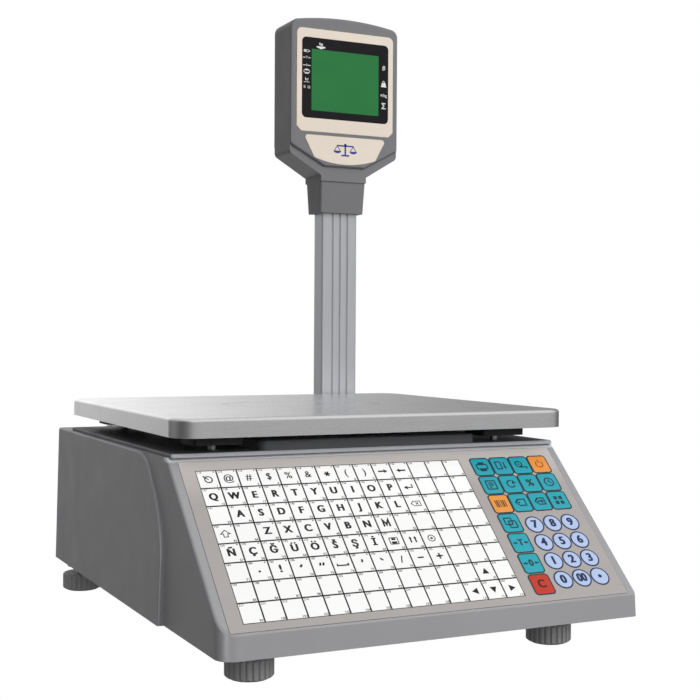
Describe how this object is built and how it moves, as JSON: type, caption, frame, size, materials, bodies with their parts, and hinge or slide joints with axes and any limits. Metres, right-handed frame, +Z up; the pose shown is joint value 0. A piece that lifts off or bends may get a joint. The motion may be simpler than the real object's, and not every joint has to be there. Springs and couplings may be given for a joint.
{
  "type": "label printing scale",
  "caption": "Counter scale with a sloped membrane keypad, steel weighing pan, two-sided pole display, slide-out label printer and screw feet.",
  "frame": {"origin": "on the table under the middle of the whole object's box", "axes": "+X to the operator's right, +Y from the operator to the customer, +Z up along the pole"},
  "size_m": [0.363, 0.47, 0.5845],
  "materials": {
    "housing_plastic": "fine textured grey ABS",
    "head_plastic": "satin grey ABS",
    "deck_plastic": "textured black ABS",
    "stainless_pan": "satin brushed stainless steel",
    "tray_steel": "powder coated",
    "spider_paint": "black painted casting",
    "cast_aluminium": "as machined",
    "pole_aluminium": "satin anodised extrusion",
    "bracket_steel": "zinc plated",
    "fastener_steel": "zinc plated",
    "overlay_film": "printed polyester film",
    "card": "white printed card under film",
    "dome_film": "clear carrier film with snap domes",
    "circuit_board": "solder mask",
    "psu_case": "plated sheet",
    "black_plastic": "moulded",
    "rocker_plastic": "red moulded",
    "vial_liquid": "green level fluid under a clear lens",
    "beige_trim": "satin cream moulding",
    "black_lens": "polished black lens",
    "lcd_green": "green liquid crystal panel",
    "foot_plastic": "ribbed moulded grip",
    "rubber": "matt",
    "gear_plastic": "natural acetal",
    "label_paper": "wound thermal labels",
    "head_ceramic": "thermal print bar"
  },
  "bodies": {
    "base": {"upper_housing": "housing_plastic", "base_tray": "tray_steel", "tray_screws": "fastener_steel", "foot_bosses": "cast_aluminium", "top_deck": "deck_plastic", "spirit_level": "black_plastic", "level_vial": "vial_liquid", "keypad_overlay": "overlay_film", "preset_key_card": "card", "key_dome_sheet": "dome_film", "keypad_board": "circuit_board", "load_cell": "cast_aluminium", "load_cell_bridge": "cast_aluminium", "load_cell_bolts": "fastener_steel", "overload_stops": "fastener_steel", "main_board": "circuit_board", "board_standoffs": "fastener_steel", "power_supply": "psu_case", "port_plate": "bracket_steel", "power_inlet": "black_plastic", "switch_body": "black_plastic", "rear_jacks": "black_plastic", "pole_socket": "bracket_steel", "pole": "pole_aluminium", "head_collar": "head_plastic", "head_front_shell": "head_plastic", "head_rear_shell": "head_plastic", "head_screws": "fastener_steel", "display_bezels": "beige_trim", "display_windows": "black_lens", "display_lcds": "lcd_green", "display_badges": "beige_trim", "display_board": "circuit_board", "printer_rails": "bracket_steel"},
    "weighing_platform": {"platter_spider": "spider_paint", "load_post": "cast_aluminium", "spider_bolts": "fastener_steel", "platter_bumpers": "rubber"},
    "pan": {"platter": "stainless_pan"},
    "printer_drawer": {"drawer_front": "housing_plastic", "printer_chassis": "bracket_steel", "printer_motor": "psu_case"},
    "latch_button": {"drawer_latch": "housing_plastic"},
    "paper_roll": {"label_roll": "label_paper"},
    "take_up_spool": {"liner_spool": "gear_plastic"},
    "platen": {"platen_roller": "rubber", "platen_gear": "gear_plastic"},
    "idler": {"idler_gear": "gear_plastic"},
    "pinion": {"motor_pinion": "gear_plastic"},
    "head_lift": {"print_head": "head_ceramic", "head_arm": "black_plastic"},
    "rocker": {"power_rocker": "rocker_plastic"},
    "front_left_pad": {"foot_pad_front_left": "rubber"},
    "front_left_wheel": {"foot_wheel_front_left": "foot_plastic"},
    "front_right_pad": {"foot_pad_front_right": "rubber"},
    "front_right_wheel": {"foot_wheel_front_right": "foot_plastic"},
    "rear_left_pad": {"foot_pad_rear_left": "rubber"},
    "rear_left_wheel": {"foot_wheel_rear_left": "foot_plastic"},
    "rear_right_pad": {"foot_pad_rear_right": "rubber"},
    "rear_right_wheel": {"foot_wheel_rear_right": "foot_plastic"}
  },
  "joints": [
    {"name": "load_cell_flex", "type": "slide", "parent": "base", "child": "weighing_platform", "axis": [0, 0, 1], "range_m": [-0.0006, 0], "stiffness_N_per_m": 245000, "springref_m": 0.00012},
    {"name": "pan_lift", "type": "slide", "parent": "weighing_platform", "child": "pan", "axis": [0, 0, 1], "range_m": [0, 0.04]},
    {"name": "drawer_slide", "type": "slide", "parent": "base", "child": "printer_drawer", "axis": [1, 0, 0], "range_m": [0, 0.11]},
    {"name": "latch_press", "type": "slide", "parent": "printer_drawer", "child": "latch_button", "axis": [-1, 0, 0], "range_m": [0, 0.0022], "stiffness_N_per_m": 300, "springref_m": -0.003},
    {"name": "roll_spin", "type": "hinge", "parent": "printer_drawer", "child": "paper_roll", "pos_m": [0.092, -0.017, 0.09], "axis": [0, 1, 0], "continuous": true},
    {"name": "spool_spin", "type": "hinge", "parent": "printer_drawer", "child": "take_up_spool", "pos_m": [0.152, -0.017, 0.062], "axis": [0, 1, 0], "continuous": true},
    {"name": "platen_spin", "type": "hinge", "parent": "printer_drawer", "child": "platen", "pos_m": [0.154, -0.017, 0.092], "axis": [0, 1, 0], "continuous": true},
    {"name": "idler_spin", "type": "hinge", "parent": "printer_drawer", "child": "idler", "pos_m": [0.13495, 0.022, 0.081], "axis": [0, 1, 0], "continuous": true},
    {"name": "pinion_spin", "type": "hinge", "parent": "printer_drawer", "child": "pinion", "pos_m": [0.11595, 0.022, 0.081], "axis": [0, 1, 0], "continuous": true},
    {"name": "head_lift_hinge", "type": "hinge", "parent": "printer_drawer", "child": "head_lift", "pos_m": [0.134, -0.017, 0.118], "axis": [0, -1, 0], "range_deg": [0, 35]},
    {"name": "rocker_tip", "type": "hinge", "parent": "base", "child": "rocker", "pos_m": [-0.062, 0.2192, 0.072], "axis": [1, 0, 0], "range_deg": [0, 20]},
    {"name": "front_left_height", "type": "slide", "parent": "base", "child": "front_left_pad", "axis": [0, 0, 1], "range_m": [0, 0.0051]},
    {"name": "front_left_turn", "type": "hinge", "parent": "front_left_pad", "child": "front_left_wheel", "pos_m": [-0.131, -0.176, 0.01], "axis": [0, 0, 1], "range_deg": [0, 1440]},
    {"name": "front_right_height", "type": "slide", "parent": "base", "child": "front_right_pad", "axis": [0, 0, 1], "range_m": [0, 0.0051]},
    {"name": "front_right_turn", "type": "hinge", "parent": "front_right_pad", "child": "front_right_wheel", "pos_m": [0.131, -0.176, 0.01], "axis": [0, 0, 1], "range_deg": [0, 1440]},
    {"name": "rear_left_height", "type": "slide", "parent": "base", "child": "rear_left_pad", "axis": [0, 0, 1], "range_m": [0, 0.0051]},
    {"name": "rear_left_turn", "type": "hinge", "parent": "rear_left_pad", "child": "rear_left_wheel", "pos_m": [-0.16, 0.193, 0.01], "axis": [0, 0, 1], "range_deg": [0, 1440]},
    {"name": "rear_right_height", "type": "slide", "parent": "base", "child": "rear_right_pad", "axis": [0, 0, 1], "range_m": [0, 0.0051]},
    {"name": "rear_right_turn", "type": "hinge", "parent": "rear_right_pad", "child": "rear_right_wheel", "pos_m": [0.16, 0.193, 0.01], "axis": [0, 0, 1], "range_deg": [0, 1440]}
  ],
  "couplings": [
    {"joint": "idler_spin", "follows": "platen_spin", "ratio": -0.83333},
    {"joint": "pinion_spin", "follows": "platen_spin", "ratio": 1.4286}
  ]
}
